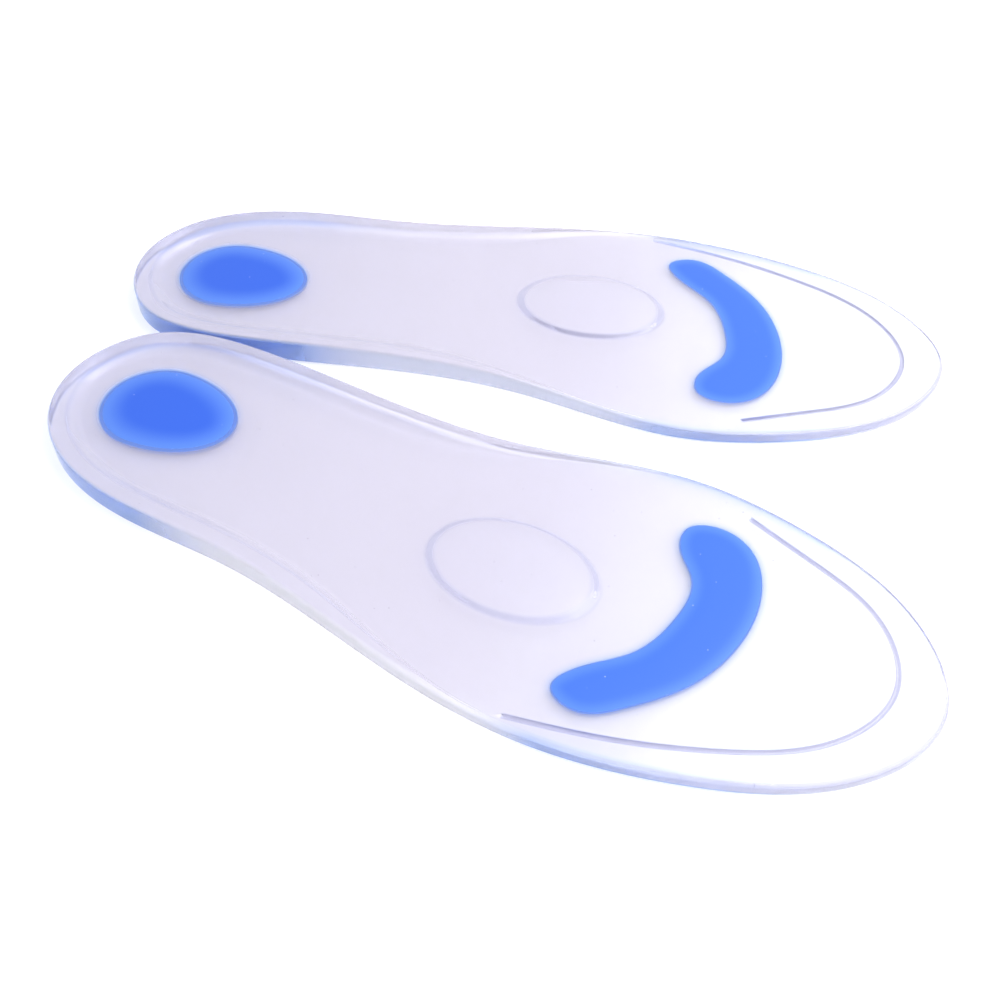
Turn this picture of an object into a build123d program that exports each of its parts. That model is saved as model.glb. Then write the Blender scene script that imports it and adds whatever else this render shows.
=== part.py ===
"""A pair of clear gel insoles, each with a soft blue heel pad and a soft blue forefoot pad."""
from build123d import *
import os

# All sizes are in millimetres. One right insole is drawn first, with its heel tip near the
# origin, its toe towards +Y and its arched inner edge at -X. The pair is laid out at the end.

# Plan outline of the casting, from the heel tip up the outer edge to the toe and back.
OUTLINE = [
    (-3, 0), (18, 8.5), (31, 30), (36.3, 80), (48.3, 140), (51.4, 168), (44.8, 213), (26, 249.5),
    (3, 262), (-23, 250), (-40.8, 216), (-45.7, 183), (-36, 132), (-34.4, 85), (-36.2, 50), (-27.5, 10.5),
]
HALF_SPAN = 70          # more than half the casting's width, for cuts that run right across
HEEL_END = -5           # just behind the heel, and just past the toe, where such cuts end
TOE_END = 267

# Heights of the casting.
RIM_HEIGHT = 7.6        # round the heel
FLOOR_HEEL = 5          # the dish that the heel rests in
FLOOR_FOREFOOT = 3.6    # from the ball of the foot to the toe
RIM_LEVEL_TO = 55       # how far along the rim keeps its full height
RIM_ENDS_AT = 192       # where the rim has run down into the forefoot
RAMP_START = 70         # where the heel dish starts to run down
RAMP_END = 120          # where it reaches the forefoot thickness
RIM_CREST_HEEL = 4.5    # width of the rim's crest round the heel
RIM_CREST_TOE = 2       # and by the ball of the foot
RIM_SLOPE = 4           # how much further in the rim's foot lies, at forefoot level
NARROWS_FROM = 95       # where along the insole the crest starts to narrow, and where it ends
NARROWS_TO = 158
EDGE_ROUND = 0.9        # lower outside edge

# Heel pad: an egg, blunt end towards the heel.
HEEL_PAD_CENTRE = (-3, 31)
HEEL_PAD_HALF_WIDTH = 16.5
HEEL_PAD_FRONT = 25.5
HEEL_PAD_BACK = 17
HEEL_PAD_DEPTH = 3

# Forefoot pad: a crescent under the ball of the foot, open towards the heel.
FOREFOOT_PAD_OUTLINE = [
    (-31, 195), (-27, 205), (-15, 211.3), (3, 211.3), (20, 204.5), (34, 191.5), (39.5, 180),
    (35.5, 173.3), (29, 176), (18, 187.5), (3, 193.8), (-11, 193.3), (-20, 187), (-27.5, 187),
]
FOREFOOT_PAD_DEPTH = 2.4

# Metatarsal dome, an oval bump of the casting.
DOME_CENTRE = (6.6, 150)
DOME_HALF_WIDTH = 16.4
DOME_HALF_LENGTH = 24.2
DOME_HEIGHT = 1.8

# Trim groove round the toe, where the insole is cut to a smaller shoe.
TRIM_LINE = [(48.2, 166), (43, 192), (35, 216), (20.5, 240), (0, 249.3), (-20, 239.5), (-30, 221), (-38, 201)]
TRIM_WIDTH = 1.3
TRIM_DEPTH = 0.8

# The pair on its surface: heels together, toes apart, the left insole set back a little.
SPLAY = 7.1             # each insole's turn away from straight ahead, in degrees
HEEL_SPACING = 63.4     # between the two heel origins
STAGGER = 9             # how far the left insole lies behind the right one
MIDDLE_Y = 125.6        # middle of the pair's length, measured from the right heel origin


def rim_outline(further):
    """The outline moved in by the crest's width and a further distance, for the rim's inner edges."""
    points = [Vector(point) for point in OUTLINE]
    moved = []
    for index, point in enumerate(points):
        along = (points[(index + 1) % len(points)] - points[index - 1]).normalized()
        narrowing = min(max((point.Y - NARROWS_FROM) / (NARROWS_TO - NARROWS_FROM), 0), 1)
        inset = RIM_CREST_HEEL + (RIM_CREST_TOE - RIM_CREST_HEEL) * narrowing + further
        moved.append(point + Vector(-along.Y, along.X) * inset)
    return moved


# The space above the foot bed: inside the rim, and above a floor that runs down to the forefoot.
with BuildPart() as foot_space:
    with BuildSketch(Plane.XY.offset(FLOOR_FOREFOOT)):
        with BuildLine():
            Spline(rim_outline(RIM_SLOPE), periodic=True)
        make_face()
    with BuildSketch(Plane.XY.offset(RIM_HEIGHT)):
        with BuildLine():
            Spline(rim_outline(0), periodic=True)
        make_face()
    loft()
    with BuildSketch(Plane.YZ):
        with BuildLine():
            Line((HEEL_END, FLOOR_HEEL), (RAMP_START, FLOOR_HEEL))
            Spline(
                [(RAMP_START, FLOOR_HEEL), (RAMP_END, FLOOR_FOREFOOT)],
                tangents=[(1, 0), (1, 0)],
            )
            Line((RAMP_END, FLOOR_FOREFOOT), (TOE_END, FLOOR_FOREFOOT))
            Polyline(
                (TOE_END, FLOOR_FOREFOOT),
                (TOE_END, RIM_HEIGHT),
                (HEEL_END, RIM_HEIGHT),
                (HEEL_END, FLOOR_HEEL),
            )
        make_face()
    extrude(amount=HALF_SPAN, both=True, mode=Mode.INTERSECT)

# Heel pad.
with BuildPart() as heel_pad:
    with BuildSketch(Plane.XY.offset(FLOOR_HEEL)):
        with BuildLine():
            for reach, start in ((HEEL_PAD_FRONT, 0), (HEEL_PAD_BACK, 180)):
                EllipticalCenterArc(HEEL_PAD_CENTRE, HEEL_PAD_HALF_WIDTH, reach, start_angle=start, arc_size=180)
        make_face()
    extrude(amount=-HEEL_PAD_DEPTH)

# Forefoot pad.
with BuildPart() as forefoot_pad:
    with BuildSketch(Plane.XY.offset(FLOOR_FOREFOOT)):
        with BuildLine():
            Spline(FOREFOOT_PAD_OUTLINE, periodic=True)
        make_face()
    extrude(amount=-FOREFOOT_PAD_DEPTH)

# The dome is the top of a flattened ball whose equator lies in the forefoot's surface.
dome = scale(Sphere(1, mode=Mode.PRIVATE), by=(DOME_HALF_WIDTH, DOME_HALF_LENGTH, DOME_HEIGHT))

# Clear casting.
with BuildPart() as gel_body:
    with BuildSketch():
        with BuildLine():
            Spline(OUTLINE, periodic=True)
        make_face()
    extrude(amount=RIM_HEIGHT)
    with BuildSketch(Plane.YZ):
        with BuildLine():
            Polyline(
                (TOE_END, FLOOR_FOREFOOT),
                (TOE_END, 0),
                (HEEL_END, 0),
                (HEEL_END, RIM_HEIGHT),
                (RIM_LEVEL_TO, RIM_HEIGHT),
            )
            Spline(
                [(RIM_LEVEL_TO, RIM_HEIGHT), (RIM_ENDS_AT, FLOOR_FOREFOOT)],
                tangents=[(1, 0), (1, 0)],
            )
            Line((RIM_ENDS_AT, FLOOR_FOREFOOT), (TOE_END, FLOOR_FOREFOOT))
        make_face()
    extrude(amount=HALF_SPAN, both=True, mode=Mode.INTERSECT)
    fillet(gel_body.edges().group_by(Axis.Z)[0], radius=EDGE_ROUND)
    add(foot_space.part, mode=Mode.SUBTRACT)
    with Locations((*DOME_CENTRE, FLOOR_FOREFOOT)):
        add(dome)
    with BuildSketch(Plane.XY.offset(FLOOR_FOREFOOT)):
        with BuildLine():
            Spline(TRIM_LINE)
        trace(line_width=TRIM_WIDTH)
    extrude(amount=-TRIM_DEPTH, mode=Mode.SUBTRACT)
    add(heel_pad.part, mode=Mode.SUBTRACT)
    add(forefoot_pad.part, mode=Mode.SUBTRACT)

# Lay out the pair and write each piece.
PIECES = {"gel_body": gel_body, "heel_pad": heel_pad, "forefoot_pad": forefoot_pad}
RIGHT_PLACE = Location((HEEL_SPACING / 2, -MIDDLE_Y, 0), (0, 0, -SPLAY))
LEFT_PLACE = Location((-HEEL_SPACING / 2, -MIDDLE_Y - STAGGER, 0), (0, 0, SPLAY))

os.makedirs("parts", exist_ok=True)
for name, piece in PIECES.items():
    right = piece.part.moved(RIGHT_PLACE)
    right.label = f"right_{name}"
    export_step(right, f"parts/{right.label}.step")
    left = mirror(piece.part, about=Plane.YZ).moved(LEFT_PLACE)
    left.label = f"left_{name}"
    export_step(left, f"parts/{left.label}.step")
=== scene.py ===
"""A pair of clear gel insoles with blue gel pads, lying on a pale studio floor.

Each insole is drawn once in its own frame, in millimetres: heel tip near the origin, toe towards +Y,
arched inner edge at -X. It is then mirrored and turned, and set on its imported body. The materials,
floor, lamps and camera are in metres.
"""
import math
import bpy
import numpy as np
from mathutils import Matrix, Vector
from mathutils.geometry import delaunay_2d_cdt


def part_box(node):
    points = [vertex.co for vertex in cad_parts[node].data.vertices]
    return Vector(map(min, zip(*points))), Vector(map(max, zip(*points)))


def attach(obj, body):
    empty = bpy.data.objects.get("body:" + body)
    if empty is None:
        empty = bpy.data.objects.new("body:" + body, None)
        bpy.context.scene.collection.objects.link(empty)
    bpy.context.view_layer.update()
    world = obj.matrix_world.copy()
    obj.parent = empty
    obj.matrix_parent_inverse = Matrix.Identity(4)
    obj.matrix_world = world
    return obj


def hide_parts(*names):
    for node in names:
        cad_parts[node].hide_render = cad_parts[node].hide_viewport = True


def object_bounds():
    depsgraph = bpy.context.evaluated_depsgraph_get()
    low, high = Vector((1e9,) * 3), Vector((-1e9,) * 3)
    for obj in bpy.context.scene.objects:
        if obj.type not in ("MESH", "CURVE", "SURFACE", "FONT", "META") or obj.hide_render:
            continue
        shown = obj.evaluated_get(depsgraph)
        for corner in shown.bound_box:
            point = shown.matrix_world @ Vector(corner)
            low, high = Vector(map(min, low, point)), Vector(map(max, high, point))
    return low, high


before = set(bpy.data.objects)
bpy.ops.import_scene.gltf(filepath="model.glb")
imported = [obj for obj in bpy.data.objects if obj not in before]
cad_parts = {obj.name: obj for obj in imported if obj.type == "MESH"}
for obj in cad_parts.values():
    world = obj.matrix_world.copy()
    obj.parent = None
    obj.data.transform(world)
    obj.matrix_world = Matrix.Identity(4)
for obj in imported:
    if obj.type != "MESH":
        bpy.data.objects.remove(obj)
cad_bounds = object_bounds()

MM = 0.001

# Plan outline of the casting, from the heel tip up the outer edge to the toe and back.
OUTLINE = [
    (-3, 0), (18, 8.5), (31, 30), (36.3, 80), (48.3, 140), (51.4, 168), (44.8, 213), (26, 249.5),
    (3, 262), (-23, 250), (-40.8, 216), (-45.7, 183), (-36, 132), (-34.4, 85), (-36.2, 50), (-27.5, 10.5),
]
OUTLINE_STEPS = 520
CURVE_STEPS = 80        # between two given points of a smooth curve

# Heights, as in the casting's own design.
RIM_HEIGHT = 7.6
FLOOR_HEEL = 5
FLOOR_FOREFOOT = 3.6
RIM_LEVEL_TO = 55
RIM_ENDS_AT = 192
RAMP_START = 70
RAMP_END = 120

# The rim's section: a rounded foot, an upright wall, a rounded crest and a hollow inner slope.
FOOT_ROUND = 0.9
CREST_ROUND = 1
CREST_ROUND_SHARE = 0.3     # the most that the crest's round takes of the rim's height
CREST_HEEL = 4.5
CREST_TOE = 1.3
CREST_FALL = 0.15           # how far the crest falls inwards, as a share of the rim's height over the floor
SLOPE_HEEL = 5
SLOPE_TOE = 0.9
SLOPE_BOW = 0.8             # below 1, the slope falls sooner and is hollower
NARROWS_FROM = 95
NARROWS_TO = 158
ARC_STEPS = 6
WALL_STEPS = 4
CREST_STEPS = 5
SLOPE_STEPS = 12

# The pads. Each shoulder is how far it reaches in, and down. Each painted edge light is how far it reaches
# in, and how light it is, and the painted middle light is how light the rest is. Each painted blue light is
# its strength beside the pad, its reach, and how far forward it lies along the outer side.
HEEL_PAD_CENTRE = (-3, 31)
HEEL_PAD_HALF_WIDTH = 16.5
HEEL_PAD_FRONT = 25.5
HEEL_PAD_BACK = 17
HEEL_PAD_STEPS = 160
EGG_STEPS = 720         # round the heel pad, before its points are spaced evenly
FOREFOOT_PAD_OUTLINE = [
    (-31, 195), (-27, 205), (-15, 211.3), (3, 211.3), (20, 204.5), (34, 191.5), (39.5, 180),
    (35.5, 173.3), (29, 176), (18, 187.5), (3, 193.8), (-11, 193.3), (-20, 187), (-27.5, 187),
]
FOREFOOT_PAD_STEPS = 200
PADS = {
    "heel_pad": {
        "top": FLOOR_HEEL, "depth": 3, "shoulder": (1.8, 0.8),
        "painted_edge_light": (9, 0.6), "painted_middle_light": 0, "painted_blue_light": (5.6, 18, 0),
    },
    "forefoot_pad": {
        "top": FLOOR_FOREFOOT, "depth": 2.4, "shoulder": (0.6, 0.4),
        "painted_edge_light": (4, 0.5), "painted_middle_light": 0.17, "painted_blue_light": (4, 15, 12),
    },
}
PAD_FOOT_ROUND = 0.5
PAD_TOP_RINGS = (0.4, 0.8, 1.2)     # further in than the shoulder
PAD_GRID_GAP = 0.6                  # between the last ring and the free points inside it
BOND = 0.1              # how far the pads reach into the casting, so that they are one with it
CROWN = 0.25            # how far a pad's middle stands above its edge
CROWN_LIFT = 0.03       # how far its edge stands above the foot bed
CROWN_FROM = 0.5        # where the crown starts to rise, and over what distance
CROWN_OVER = 6

# Metatarsal dome: a soft step round its edge, and a low crown.
DOME_CENTRE = (6.6, 150)
DOME_HALF_WIDTH = 16.4
DOME_HALF_LENGTH = 24.2
DOME_HEIGHT = 1.8
DOME_STEP_SHARE = 0.45      # of the dome's height that the step takes
DOME_STEP_FROM = 0.9        # as a share of the way out to its edge
# as shares of the way out to its edge, and closest together on the step
DOME_RINGS = (1.03, 1, 0.985, 0.965, 0.95, 0.935, 0.915, 0.9, 0.86, 0.78, 0.66, 0.5, 0.3)
DOME_STEPS = 120

# Trim groove.
TRIM_LINE = [(48.2, 166), (43, 192), (35, 216), (20.5, 240), (0, 249.3), (-20, 239.5), (-30, 221), (-38, 201)]
TRIM_HALF_WIDTH = 0.65
TRIM_DEPTH = 0.8
TRIM_STEPS = 240
TRIM_ROWS = (-1.4, -1, -0.7, -0.35, 0, 0.35, 0.7, 1, 1.4)     # across it, in half widths

# Free points that fill the foot bed and the pads' tops, and how far they keep from the drawn lines.
BED_GRID = 2.2
BED_GRID_GAP = 1.2
PAD_GRID = 1
GRID_X = (-50.0, 56.0)
GRID_Y = (0.0, 264.0)

SPLAY = math.radians(7.1)
SHARP_ANGLE = math.radians(50)
SAME_POINT = 1e-5       # points closer than this are joined

# Painted shade along the moulded lines, where the clear gel's refraction shows them darker: where it shows,
# and how strongly, 0 to 1.
DOME_PAINTED_SHADE = 0.8
DOME_PAINTED_SHADE_AT = 0.95         # as a share of the way out to the dome's edge
DOME_PAINTED_SHADE_REACH = 0.045     # over which it goes from full to nothing
DOME_PAINTED_SHADE_FULL = 0.6        # how far from its middle it starts to fade, in reaches
TRIM_PAINTED_SHADE_FADE = 2.5        # how much of its colour the trim line loses per half width
TRIM_PAINTED_SHADE_GONE = 1.4        # where it has lost it all, in half widths from its middle
RIM_PAINTED_SHADE = 0.5
RIM_PAINTED_SHADE_AT = 0.17          # as a share of the way down the slope, and how far it reaches either side
RIM_PAINTED_SHADE_REACH = 0.2
TOE_PAINTED_SHADE = 0.9
TOE_PAINTED_SHADE_FROM = 150
TOE_PAINTED_SHADE_TO = 230

# Painted blue light from the pads in the clear gel, and the foot bed's milky tint with painted shade.
PAINTED_BLUE_ALONG_ARCH = 0.2
ARCH_FROM = 20              # from the middle line towards the arch
ARCH_TO = 34
PAINTED_BLUE_MOST = 0.9
PAINTED_BLUE_FADE_HEEL = 1.5        # how fast it fades over the crest, at the heel and at the toe
PAINTED_BLUE_FADE_TOE = 0.4
POCKET_PAINTED_BLUE = ((-2.2, 0), (-1.2, 0.12), (-0.4, 0.4), (0.1, 1))     # distance in from the pad's edge, painted blue light
BED_MILKY_PAINTED_SHADE_CLEARS_FROM = 140       # milky tint with painted shade up to here, and clear from the next
BED_MILKY_PAINTED_SHADE_CLEARS_TO = 240

# Colours of the gels.
GEL_CLEAR = (0.97, 0.97, 1, 1)
# the gel's milky tint with painted shade, over the foot bed
GEL_BED_MILKY_AND_PAINTED_SHADE = (0.74, 0.705, 0.815, 1)
# painted blue light, for the pads' blue scattered and reflected in the clear gel
GEL_PAINTED_BLUE_LIGHT = (0.3, 0.5, 1, 1)
# painted shade of the moulded lines
GEL_PAINTED_SHADE = (0.58, 0.58, 0.78, 1)
GEL_SPECK = (0.3, 0.28, 0.36, 1)
GEL_ABSORPTION = (0.2, 0.4, 1, 1)
GEL_DENSITY = 6
GEL_TRANSMISSION = 0.7
GEL_GLOSS = (0.08, 0.18, 60)        # least and most roughness, and the scale that it wanders at
GEL_SPECKS = (0.0002, 0.005)        # size and spacing
SPECK_CORE = 0.6                    # the share of a speck's size that has its full colour
PAD_BLUE = (0.03, 0.11, 0.61, 1)
# painted light, where light would shine through a pad's thin edge, and over the forefoot pad
PAD_PAINTED_LIGHT = (0.13, 0.28, 0.72, 1)
PAD_SPECK = (0.35, 0.45, 0.8, 1)
PAD_GLOSS = (0.3, 0.45, 90)
PAD_SPECKS = (0.0002, 0.004)
PAD_SPECULAR = 0.25
SILICONE_IOR = 1.41
GLOSS_DETAIL = 3

# Floor, lamps and camera.
WHITE = (1, 1, 1, 1)
FLOOR_COLOUR = (0.92, 0.92, 0.92, 1)
FLOOR_EMISSION = 0.15
FLOOR_HALF_SIZE = 3
FLOOR_GAP = 0.0002
# Each lamp is its square's side, its energy, its place and the direction of its light.
LAMPS = {
    "key": (0.5, 3, (-0.1, 0.35, 0.4), (0.08, -0.2, -0.4)),
    "fill": (0.4, 0.5, (0.45, 0, 0.12), (-0.45, 0, -0.12)),
}
CAMERA_LENS = 41.9      # in millimetres, as is the sensor
CAMERA_SENSOR = 36
CAMERA_PLACE = (0.2431, 0.0750, 0.2393)
CAMERA_RIGHT = (-0.3073, 0.9515, 0.0173)
CAMERA_UP = (-0.6952, -0.2368, 0.6787)
DIFFUSE_BOUNCES = 12
GLOSSY_BOUNCES = 16
CLEAR_BOUNCES = 24


# Curves and fields

def smooth_curve(points, closed):
    """The cubic curve through points, finely sampled, each piece timed by its straight length."""
    points = np.array(points, float)
    count = len(points)
    spans = np.linalg.norm(np.roll(points, -1, axis=0) - points, axis=1)
    before = np.roll(spans, 1)
    system = np.zeros((count, count))
    target = np.zeros((count, 2))
    for i in range(count):
        last, after = (i - 1) % count, (i + 1) % count
        if closed or 0 < i < count - 1:
            system[i, last] = spans[i]
            system[i, i] = 2 * (before[i] + spans[i])
            system[i, after] = before[i]
            target[i] = 3 * (
                spans[i] * (points[i] - points[last]) / before[i]
                + before[i] * (points[after] - points[i]) / spans[i]
            )
        else:
            inner = after if i == 0 else last
            chord = (points[inner] - points[i]) / np.linalg.norm(points[inner] - points[i])
            system[i, i] = 2
            system[i, inner] = 1
            target[i] = 3 * chord * (1 if i == 0 else -1)
    tangents = np.linalg.solve(system, target)
    t = np.linspace(0, 1, CURVE_STEPS, endpoint=False)[:, None]
    parts = []
    for i in range(count if closed else count - 1):
        after = (i + 1) % count
        parts.append(
            (2 * t**3 - 3 * t**2 + 1) * points[i]
            + (t**3 - 2 * t**2 + t) * spans[i] * tangents[i]
            + (3 * t**2 - 2 * t**3) * points[after]
            + (t**3 - t**2) * spans[i] * tangents[after]
        )
    if not closed:
        parts.append(points[-1:])
    return np.concatenate(parts)


def evenly(path, steps, closed):
    """As many points as steps, at even distances along path."""
    if closed:
        path = np.concatenate([path, path[:1]])
    along = np.concatenate([[0], np.cumsum(np.linalg.norm(np.diff(path, axis=0), axis=1))])
    wanted = np.linspace(0, along[-1], steps, endpoint=not closed)
    return np.stack([np.interp(wanted, along, path[:, k]) for k in (0, 1)], axis=1)


def to_the_left(along):
    """Unit vectors square to the directions along, on their left."""
    across = np.stack([-along[:, 1], along[:, 0]], axis=1)
    return across / np.linalg.norm(across, axis=1)[:, None]


def inward(loop):
    """Unit vectors towards the inside of an evenly spaced, counter-clockwise loop."""
    return to_the_left(np.roll(loop, -1, axis=0) - np.roll(loop, 1, axis=0))


def ease(low, high, value):
    """0 up to low, 1 from high, and a smooth climb between."""
    t = np.clip((value - low) / (high - low), 0, 1)
    return t * t * (3 - 2 * t)


def quarter_turn():
    """The sine and cosine at even steps through a right angle."""
    turns = [math.pi / 2 * k / ARC_STEPS for k in range(ARC_STEPS + 1)]
    return [(math.sin(turn), math.cos(turn)) for turn in turns]


def inside(loop, points):
    """Which points lie inside the loop."""
    x, y = points[:, 0], points[:, 1]
    crossings = np.zeros(len(points), int)
    for (ax, ay), (bx, by) in zip(loop, np.roll(loop, -1, axis=0)):
        spans = (ay > y) != (by > y)
        if spans.any():
            crossings[spans] += x[spans] < ax + (y[spans] - ay) * (bx - ax) / (by - ay)
    return crossings % 2 == 1


def nearest(points, others):
    """Each point's distance to the nearest of the others."""
    best = np.full(len(points), np.inf)
    for other in others:
        best = np.minimum(best, np.linalg.norm(points - other, axis=1))
    return best


def staggered_grid(pitch):
    """Points over the whole plan, each row set off by half the pitch."""
    xs, ys = np.meshgrid(np.arange(*GRID_X, pitch), np.arange(*GRID_Y, pitch))
    xs[1::2] += pitch / 2
    return np.stack([xs.ravel(), ys.ravel()], axis=1)


def floor_height(y):
    """The foot bed's height: the heel's dish, and the ramp down to the forefoot."""
    return FLOOR_HEEL + (FLOOR_FOREFOOT - FLOOR_HEEL) * ease(RAMP_START, RAMP_END, y)


def rim_height(y):
    """The rim's height: level round the heel, then running down into the forefoot."""
    return RIM_HEIGHT + (FLOOR_FOREFOOT - RIM_HEIGHT) * ease(RIM_LEVEL_TO, RIM_ENDS_AT, y)


def dome_height(points):
    """The dome's height above the forefoot."""
    reach = np.hypot(
        (points[:, 0] - DOME_CENTRE[0]) / DOME_HALF_WIDTH,
        (points[:, 1] - DOME_CENTRE[1]) / DOME_HALF_LENGTH,
    )
    step = 1 - ease(DOME_STEP_FROM, 1, reach)
    bulge = (1 - DOME_STEP_SHARE) * np.clip(1 - reach**2, 0, 1)
    return DOME_HEIGHT * step * (DOME_STEP_SHARE + bulge)


def dome_painted_shade(reach):
    """How strongly the painted shade round the dome shows: 1 in the middle of its step."""
    return np.clip(1 + DOME_PAINTED_SHADE_FULL - abs(reach - DOME_PAINTED_SHADE_AT) / DOME_PAINTED_SHADE_REACH, 0, 1)


def crown(distance):
    """How far a pad's top has risen, at a distance in from its outline."""
    return CROWN_LIFT + CROWN * (1 - (1 - np.clip((distance - CROWN_FROM) / CROWN_OVER, 0, 1)) ** 2)


def painted_blue_from_pads(points, edges):
    """How much of the pads' blue light, scattered and reflected in the clear gel, is painted on at these
    points, 0 to 1.
    """
    # A little painted blue reflection all along the arch side.
    painted_blue_light = PAINTED_BLUE_ALONG_ARCH * ease(ARCH_FROM, ARCH_TO, -points[:, 0])
    for name, design in PADS.items():
        strength, reach, forward = design["painted_blue_light"]
        shift = np.stack([np.zeros(len(points)), forward * (points[:, 0] > 0)], axis=1)
        away = nearest(points - shift, edges[name])
        painted_blue_light = painted_blue_light + strength * np.exp(-((away / reach) ** 2))
    return np.clip(painted_blue_light, 0, PAINTED_BLUE_MOST)


class Shell:
    """A mesh in the making: rows of points, and faces between them."""

    def __init__(self):
        self.points = []
        self.faces = []
        self.line = []
        self.painted_blue_light = []
        self.bed = []

    def add(self, plan, heights, line=0, painted_blue_light=0, bed=1):
        """Adds points, with how far each takes on the three tints, and returns their numbers. The tints are
        painted shade on the gel's lines or painted light at the pads' edges, painted blue light from the
        pads, and the foot bed's milky tint with painted shade.
        """
        first = len(self.points)
        heights, line, painted_blue_light, bed = [np.broadcast_to(v, (len(plan),)) for v in (heights, line, painted_blue_light, bed)]
        self.points += [(x, y, z) for (x, y), z in zip(plan, heights)]
        self.line += list(line)
        self.painted_blue_light += list(painted_blue_light)
        # The foot bed's milky tint with painted shade, clearing towards the toe.
        self.bed += list(bed * (1 - ease(BED_MILKY_PAINTED_SHADE_CLEARS_FROM, BED_MILKY_PAINTED_SHADE_CLEARS_TO, plan[:, 1])))
        return list(range(first, len(self.points)))

    def plan(self, numbers):
        """Where the numbered points lie, seen from above."""
        return np.array([self.points[n][:2] for n in numbers])

    def band(self, lower, upper):
        """Faces between two rings, looking to the right of the way that they run."""
        for i in range(len(lower)):
            after = (i + 1) % len(lower)
            self.faces.append((lower[i], lower[after], upper[after], upper[i]))

    def fill(self, rings, closed, free, heights, holes, upwards, line=0):
        """Triangles inside the first ring and outside the holes, through every other given point."""
        numbers = [n for ring in rings for n in ring]
        edges = []
        start = 0
        for ring, joined in zip(rings, closed):
            last = len(ring) if joined else len(ring) - 1
            edges += [(start + i, start + (i + 1) % len(ring)) for i in range(last)]
            start += len(ring)
        numbers += self.add(free, heights, line)
        flat = [Vector(self.points[n][:2]) for n in numbers]
        corners, _, triangles, origin, _, _ = delaunay_2d_cdt(flat, edges, [], 1, SAME_POINT)
        middles = np.array([np.mean([corners[c] for c in t], axis=0) for t in triangles])
        keep = np.ones(len(middles), bool)
        for hole in holes:
            keep &= ~inside(hole, middles)
        for triangle in np.array(triangles)[keep]:
            real = [numbers[origin[c][0]] for c in triangle]
            self.faces.append(tuple(real if upwards else reversed(real)))

    def cap(self, ring, upwards):
        """Triangles across one level ring."""
        self.fill([ring], [True], np.zeros((0, 2)), 0, [], upwards)

    def object(self, name, mirrored, place, material):
        """The finished object, in metres, mirrored for the left foot and set in its place."""
        sign = -1 if mirrored else 1
        points = [place @ Vector((sign * x * MM, y * MM, z * MM)) for x, y, z in self.points]
        faces = [tuple(reversed(f)) for f in self.faces] if mirrored else self.faces
        mesh = bpy.data.meshes.new(name)
        mesh.from_pydata(points, [], faces)
        mesh.validate()
        mesh.shade_smooth()
        mesh.set_sharp_from_angle(angle=SHARP_ANGLE)
        mesh.materials.append(material)
        # The painted light and shade go on the mesh for the materials to read.
        for colour, values in (("line", self.line), ("painted_blue_light", self.painted_blue_light), ("bed", self.bed)):
            mesh.attributes.new(colour, "FLOAT", "POINT").data.foreach_set("value", values)
        piece = bpy.data.objects.new(name, mesh)
        bpy.context.scene.collection.objects.link(piece)
        return piece


# The clear casting

def rim_section(y):
    """The rim's section at the stations y: rows of (distance in from the outline, height, painted shade)."""
    top, floor = rim_height(y), floor_height(y)
    crest = np.minimum(CREST_ROUND, CREST_ROUND_SHARE * top)
    narrow = ease(NARROWS_FROM, NARROWS_TO, y)
    crest_width = CREST_HEEL + (CREST_TOE - CREST_HEEL) * narrow
    slope_width = SLOPE_HEEL + (SLOPE_TOE - SLOPE_HEEL) * narrow
    fall = CREST_FALL * (top - floor)
    # Painted shade along the toe's edge and in the rim's crease, where the clear gel's refraction shows
    # darker lines.
    toe_painted_shade = TOE_PAINTED_SHADE * ease(TOE_PAINTED_SHADE_FROM, TOE_PAINTED_SHADE_TO, y)
    rim_painted_shade = RIM_PAINTED_SHADE * (top - floor) / (RIM_HEIGHT - FLOOR_HEEL)
    level = np.zeros(len(y))
    rows = []
    for sine, cosine in quarter_turn():
        rows.append((level + FOOT_ROUND * (1 - sine), level + FOOT_ROUND * (1 - cosine), 0))
    for k in range(1, WALL_STEPS):
        rows.append((level, FOOT_ROUND + (top - crest - FOOT_ROUND) * k / WALL_STEPS, toe_painted_shade))
    for sine, cosine in quarter_turn():
        rows.append((crest * (1 - cosine), top - crest * (1 - sine), toe_painted_shade))
    for k in range(1, CREST_STEPS + 1):
        u = k / CREST_STEPS
        rows.append((crest + (crest_width - crest) * u, top - fall * u**2, toe_painted_shade * (1 - u**2)))
    for k in range(1, SLOPE_STEPS + 1):
        u = k / SLOPE_STEPS
        height = top - fall + (floor - top + fall) * ease(0, 1, u) ** SLOPE_BOW
        crease = max(0, 1 - abs(u - RIM_PAINTED_SHADE_AT) / RIM_PAINTED_SHADE_REACH)
        rows.append((crest_width + slope_width * u, height, rim_painted_shade * crease))
    return rows


def pad_outline(name):
    """A pad's outline, evenly spaced and counter-clockwise."""
    if name == "forefoot_pad":
        return evenly(smooth_curve(FOREFOOT_PAD_OUTLINE, True)[::-1], FOREFOOT_PAD_STEPS, True)
    turn = np.linspace(0, 2 * math.pi, EGG_STEPS, endpoint=False)
    reach = np.where(np.sin(turn) > 0, HEEL_PAD_FRONT, HEEL_PAD_BACK)
    across = HEEL_PAD_CENTRE[0] + HEEL_PAD_HALF_WIDTH * np.cos(turn)
    along = HEEL_PAD_CENTRE[1] + reach * np.sin(turn)
    return evenly(np.stack([across, along], axis=1), HEEL_PAD_STEPS, True)


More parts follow.
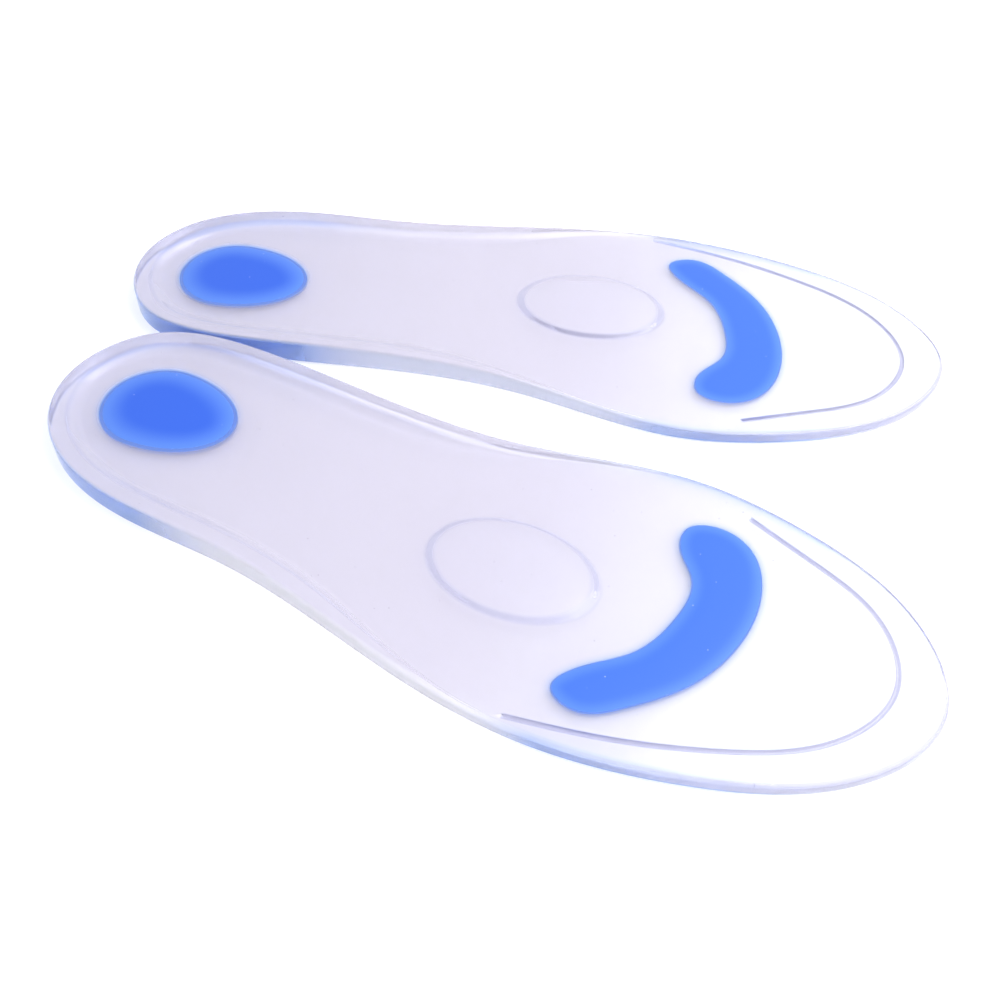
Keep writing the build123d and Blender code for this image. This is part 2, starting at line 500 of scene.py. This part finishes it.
def add_rim(shell, edges):
    """The rim, from its foot over the crest and down to the foot bed. Returns its first and last rings."""
    outline = evenly(smooth_curve(OUTLINE, True), OUTLINE_STEPS, True)
    into = inward(outline)
    painted_blue_light = painted_blue_from_pads(outline, edges)
    narrow = ease(NARROWS_FROM, NARROWS_TO, outline[:, 1])
    fade = PAINTED_BLUE_FADE_HEEL + (PAINTED_BLUE_FADE_TOE - PAINTED_BLUE_FADE_HEEL) * narrow
    rings = []
    for distance, height, line in rim_section(outline[:, 1]):
        outer = np.clip(1 - fade * distance / CREST_ROUND, 0, 1)
        plan = outline + into * distance[:, None]
        rings.append(
            # Painted blue light from the pads on the outer wall, fading over the crest, and the milky tint
            # with painted shade from the crest inwards.
            shell.add(plan, height, line, painted_blue_light * (height > 0) * outer, (1 - outer) * (height > FOOT_ROUND))
        )
    for lower, upper in zip(rings, rings[1:]):
        shell.band(lower, upper)
    return rings[0], rings[-1]


def add_pocket(shell, edge, design):
    """One pad's pocket, with painted blue light round it. Returns the rings in the foot bed, the lip last."""
    into = inward(edge)
    # Rings of painted blue light round the pad, strongest at its lip.
    rings = [shell.add(edge + into * distance, design["top"], 0, painted_blue_light) for distance, painted_blue_light in POCKET_PAINTED_BLUE]
    mouth = edge + into * (design["shoulder"][0] + BOND)
    lip = shell.add(mouth, design["top"], 0, 1)
    bed = shell.add(mouth, design["top"] - design["depth"] + BOND)
    shell.band(lip, bed)
    shell.cap(bed, True)
    return rings + [lip]


def add_dome(shell):
    """The dome's rings, from the outside in."""
    turn = np.linspace(0, 2 * math.pi, DOME_STEPS, endpoint=False)
    rings = []
    for reach in DOME_RINGS:
        across = DOME_CENTRE[0] + reach * DOME_HALF_WIDTH * np.cos(turn)
        along = DOME_CENTRE[1] + reach * DOME_HALF_LENGTH * np.sin(turn)
        ring = np.stack([across, along], axis=1)
        # Painted shade round the dome's step.
        rings.append(shell.add(ring, FLOOR_FOREFOOT + dome_height(ring), DOME_PAINTED_SHADE * dome_painted_shade(reach)))
    return rings


def add_trim_groove(shell, edges):
    """The rows of points along the trim groove, which comes to nothing at both ends."""
    line = evenly(smooth_curve(TRIM_LINE, False), TRIM_STEPS, False)
    across = to_the_left(np.gradient(line, axis=0))
    painted_blue_light = painted_blue_from_pads(line, edges)
    between_ends = np.ones(len(line))
    between_ends[[0, -1]] = 0
    rows = []
    for offset in TRIM_ROWS:
        depth = TRIM_DEPTH * max(0, 1 - offset**4) * between_ends
        # Painted shade along the groove, gone at its banks, and painted blue light from the pads with it.
        colour = max(0, min(1, TRIM_PAINTED_SHADE_FADE * (TRIM_PAINTED_SHADE_GONE - abs(offset)))) * between_ends
        plan = line + across * offset * TRIM_HALF_WIDTH
        rows.append(shell.add(plan, FLOOR_FOREFOOT - depth, colour, painted_blue_light * colour))
    return rows


def gel_body():
    """The clear casting: underside, rim, and foot bed with its pockets, dome and trim groove."""
    shell = Shell()
    edges = {name: pad_outline(name) for name in PADS}
    foot, rim = add_rim(shell, edges)
    shell.cap(foot, False)
    loops = [rim]
    holes = []
    for name, design in PADS.items():
        rings = add_pocket(shell, edges[name], design)
        loops += rings
        holes.append(shell.plan(rings[-1]))
    loops += add_dome(shell)
    grooves = add_trim_groove(shell, edges)
    closed = [True] * len(loops) + [False] * len(grooves)
    loops += grooves
    grid = staggered_grid(BED_GRID)
    grid = grid[inside(shell.plan(rim), grid)]
    drawn = shell.plan([n for loop in loops for n in loop])
    grid = grid[nearest(grid, drawn) > BED_GRID_GAP]
    for hole in holes:
        grid = grid[~inside(hole, grid)]
    shell.fill(loops, closed, grid, floor_height(grid[:, 1]) + dome_height(grid), holes, True)
    return shell


# The pads

def pad_painted_light(design, distance):
    """How much painted light a pad takes at a distance in from its outline, 0 to 1: most at its thin edge."""
    reach, edge = design["painted_edge_light"]
    middle = design["painted_middle_light"]
    return middle + (edge - middle) * (1 - ease(0, reach, distance))


def pad(name):
    """A gel pad: a rounded shoulder under the clear casting, and a low crown above it."""
    shell = Shell()
    design = PADS[name]
    edge = pad_outline(name)
    into = inward(edge)
    top = design["top"]
    base = top - design["depth"]
    reach, drop = design["shoulder"]
    rows = []
    for sine, cosine in quarter_turn():
        rows.append((PAD_FOOT_ROUND * (1 - sine), base + PAD_FOOT_ROUND * (1 - cosine)))
    for sine, cosine in quarter_turn():
        distance = reach * (1 - cosine)
        rows.append((distance, top + crown(distance) - drop * (1 - sine)))
    for further in PAD_TOP_RINGS:
        rows.append((reach + further, top + crown(reach + further)))
    rings = []
    for distance, height in rows:
        # Painted light, lighter towards the pad's thin edge.
        rings.append(shell.add(edge + into * distance, height, pad_painted_light(design, distance)))
    for lower, upper in zip(rings, rings[1:]):
        shell.band(lower, upper)
    shell.cap(rings[0], False)
    grid = staggered_grid(PAD_GRID)
    grid = grid[inside(edge, grid)]
    depths = nearest(grid, edge)
    within = depths > rows[-1][0] + PAD_GRID_GAP
    grid, depths = grid[within], depths[within]
    # Painted light across the pad's top.
    shell.fill([rings[-1]], [True], grid, top + crown(depths), [], True, pad_painted_light(design, depths))
    return shell


# Materials

def new_material(name):
    """A material with its node tree, and the tree's nodes and links."""
    material = bpy.data.materials.new(name)
    material.use_nodes = True
    return material, material.node_tree.nodes, material.node_tree.links


def mix(nodes, links, factor, start, end):
    """A colour that goes from start to end, each a colour or a socket, as the factor goes from 0 to 1."""
    node = nodes.new("ShaderNodeMix")
    node.data_type = "RGBA"
    first, second = [s for s in node.inputs if s.type == "RGBA"]
    links.new(factor, node.inputs["Factor"])
    for socket, value in ((first, start), (second, end)):
        if isinstance(value, tuple):
            socket.default_value = value
        else:
            links.new(value, socket)
    return next(s for s in node.outputs if s.type == "RGBA")


def attribute(nodes, name):
    """The value that the mesh carries under that name."""
    reader = nodes.new("ShaderNodeAttribute")
    reader.attribute_name = name
    return reader.outputs["Fac"]


def specks(nodes, links, size, spacing):
    """1 inside tiny specks, 0 elsewhere."""
    place = nodes.new("ShaderNodeTexCoord")
    cells = nodes.new("ShaderNodeTexVoronoi")
    cells.inputs["Scale"].default_value = 1 / spacing
    near = nodes.new("ShaderNodeMapRange")
    near.inputs["From Min"].default_value = size / spacing
    near.inputs["From Max"].default_value = SPECK_CORE * size / spacing
    links.new(place.outputs["Object"], cells.inputs["Vector"])
    links.new(cells.outputs["Distance"], near.inputs["Value"])
    return near.outputs["Result"]


def uneven_gloss(nodes, links, shader, low, high, scale):
    """Roughness that wanders between low and high."""
    place = nodes.new("ShaderNodeTexCoord")
    noise = nodes.new("ShaderNodeTexNoise")
    noise.inputs["Scale"].default_value = scale
    noise.inputs["Detail"].default_value = GLOSS_DETAIL
    spread = nodes.new("ShaderNodeMapRange")
    spread.inputs["To Min"].default_value = low
    spread.inputs["To Max"].default_value = high
    links.new(place.outputs["Object"], noise.inputs["Vector"])
    links.new(noise.outputs["Fac"], spread.inputs["Value"])
    links.new(spread.outputs["Result"], shader.inputs["Roughness"])


def clear_gel():
    """Clear, faintly milky silicone, with painted shade over the foot bed and along its moulded lines,
    painted blue light near the pads, and a few tiny bubbles.
    """
    material, nodes, links = new_material("clear_gel")
    shader = nodes["Principled BSDF"]
    # The milky tint over the foot bed, with painted shade towards the heel.
    colour = mix(nodes, links, attribute(nodes, "bed"), GEL_CLEAR, GEL_BED_MILKY_AND_PAINTED_SHADE)
    # Painted blue light from the pads.
    colour = mix(nodes, links, attribute(nodes, "painted_blue_light"), colour, GEL_PAINTED_BLUE_LIGHT)
    # Painted shade along the moulded lines.
    colour = mix(nodes, links, attribute(nodes, "line"), colour, GEL_PAINTED_SHADE)
    colour = mix(nodes, links, specks(nodes, links, *GEL_SPECKS), colour, GEL_SPECK)
    links.new(colour, shader.inputs["Base Color"])
    shader.inputs["Transmission Weight"].default_value = GEL_TRANSMISSION
    shader.inputs["IOR"].default_value = SILICONE_IOR
    uneven_gloss(nodes, links, shader, *GEL_GLOSS)
    absorption = nodes.new("ShaderNodeVolumeAbsorption")
    absorption.inputs["Color"].default_value = GEL_ABSORPTION
    absorption.inputs["Density"].default_value = GEL_DENSITY
    links.new(absorption.outputs["Volume"], nodes["Material Output"].inputs["Volume"])
    return material


def blue_gel():
    """Soft blue silicone, with painted light towards the pad's edge, and a few tiny bubbles."""
    material, nodes, links = new_material("blue_gel")
    shader = nodes["Principled BSDF"]
    # Painted light: lighter where light would shine through the pad's thin edge.
    colour = mix(nodes, links, attribute(nodes, "line"), PAD_BLUE, PAD_PAINTED_LIGHT)
    colour = mix(nodes, links, specks(nodes, links, *PAD_SPECKS), colour, PAD_SPECK)
    links.new(colour, shader.inputs["Base Color"])
    uneven_gloss(nodes, links, shader, *PAD_GLOSS)
    shader.inputs["Specular IOR Level"].default_value = PAD_SPECULAR
    shader.inputs["IOR"].default_value = SILICONE_IOR
    return material


def pale_floor():
    """A plain, matt, nearly white floor."""
    material, nodes, _ = new_material("floor")
    shader = nodes["Principled BSDF"]
    shader.inputs["Base Color"].default_value = FLOOR_COLOUR
    shader.inputs["Roughness"].default_value = 1
    shader.inputs["Specular IOR Level"].default_value = 0
    shader.inputs["Emission Color"].default_value = WHITE
    shader.inputs["Emission Strength"].default_value = FLOOR_EMISSION
    return material


# Layout

def placement(side, shell):
    """Turns an insole by the splay, and moves it so that its box meets its CAD casting's box."""
    sign = 1 if side == "right" else -1
    turn = Matrix.Rotation(-sign * SPLAY, 4, "Z")
    plan = [turn @ Vector((sign * x * MM, y * MM, 0)) for x, y, _ in shell.points]
    low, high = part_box(f"{side}_gel_body")
    shift = []
    for k in (0, 1):
        values = [point[k] for point in plan]
        shift.append((low[k] + high[k]) / 2 - (min(values) + max(values)) / 2)
    return Matrix.Translation((*shift, low[2])) @ turn


def build_insoles():
    """All six pieces, each riding on its insole's body."""
    gel, blue = clear_gel(), blue_gel()
    shells = {"gel_body": gel_body(), "heel_pad": pad("heel_pad"), "forefoot_pad": pad("forefoot_pad")}
    for side in ("right", "left"):
        place = placement(side, shells["gel_body"])
        for name, shell in shells.items():
            material = gel if name == "gel_body" else blue
            piece = shell.object(f"{side}_{name}_soft", side == "left", place, material)
            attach(piece, f"{side}_insole")
            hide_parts(f"{side}_{name}")


def add_floor():
    """The floor, just under the insoles."""
    size = FLOOR_HALF_SIZE
    mesh = bpy.data.meshes.new("floor")
    corners = [(-size, -size, 0), (size, -size, 0), (size, size, 0), (-size, size, 0)]
    mesh.from_pydata(corners, [], [(0, 1, 2, 3)])
    mesh.materials.append(pale_floor())
    floor = bpy.data.objects.new("floor", mesh)
    floor.location.z = cad_bounds[0][2] - FLOOR_GAP
    bpy.context.scene.collection.objects.link(floor)


def add_light():
    """A white studio, and its lamps."""
    world = bpy.data.worlds.new("studio")
    bpy.context.scene.world = world
    world.use_nodes = True
    world.node_tree.nodes["Background"].inputs["Color"].default_value = WHITE
    world.node_tree.nodes["Background"].inputs["Strength"].default_value = 1
    for name, (side, energy, place, direction) in LAMPS.items():
        lamp = bpy.data.lights.new(name, "AREA")
        lamp.shape = "SQUARE"
        lamp.size = side
        lamp.energy = energy
        holder = bpy.data.objects.new(name, lamp)
        holder.location = place
        holder.rotation_euler = Vector(direction).to_track_quat("-Z", "Y").to_euler()
        bpy.context.scene.collection.objects.link(holder)


def add_camera():
    """The camera, beside the right insole's outer edge and looking down at the pair."""
    camera = bpy.data.cameras.new("camera")
    camera.sensor_width = CAMERA_SENSOR
    camera.lens = CAMERA_LENS
    viewer = bpy.data.objects.new("camera", camera)
    right, up = Vector(CAMERA_RIGHT), Vector(CAMERA_UP)
    axes = Matrix((right, up, right.cross(up))).transposed()
    viewer.matrix_world = Matrix.Translation(CAMERA_PLACE) @ axes.to_4x4()
    bpy.context.scene.collection.objects.link(viewer)
    bpy.context.scene.camera = viewer
    bpy.context.scene.view_settings.view_transform = "Standard"


def set_light_paths():
    """Enough bounces for light to cross both walls of the clear gel and come out again."""
    cycles = bpy.context.scene.cycles
    cycles.diffuse_bounces = DIFFUSE_BOUNCES
    cycles.glossy_bounces = GLOSSY_BOUNCES
    cycles.transmission_bounces = CLEAR_BOUNCES
    cycles.max_bounces = CLEAR_BOUNCES


build_insoles()
add_floor()
add_light()
add_camera()
set_light_paths()
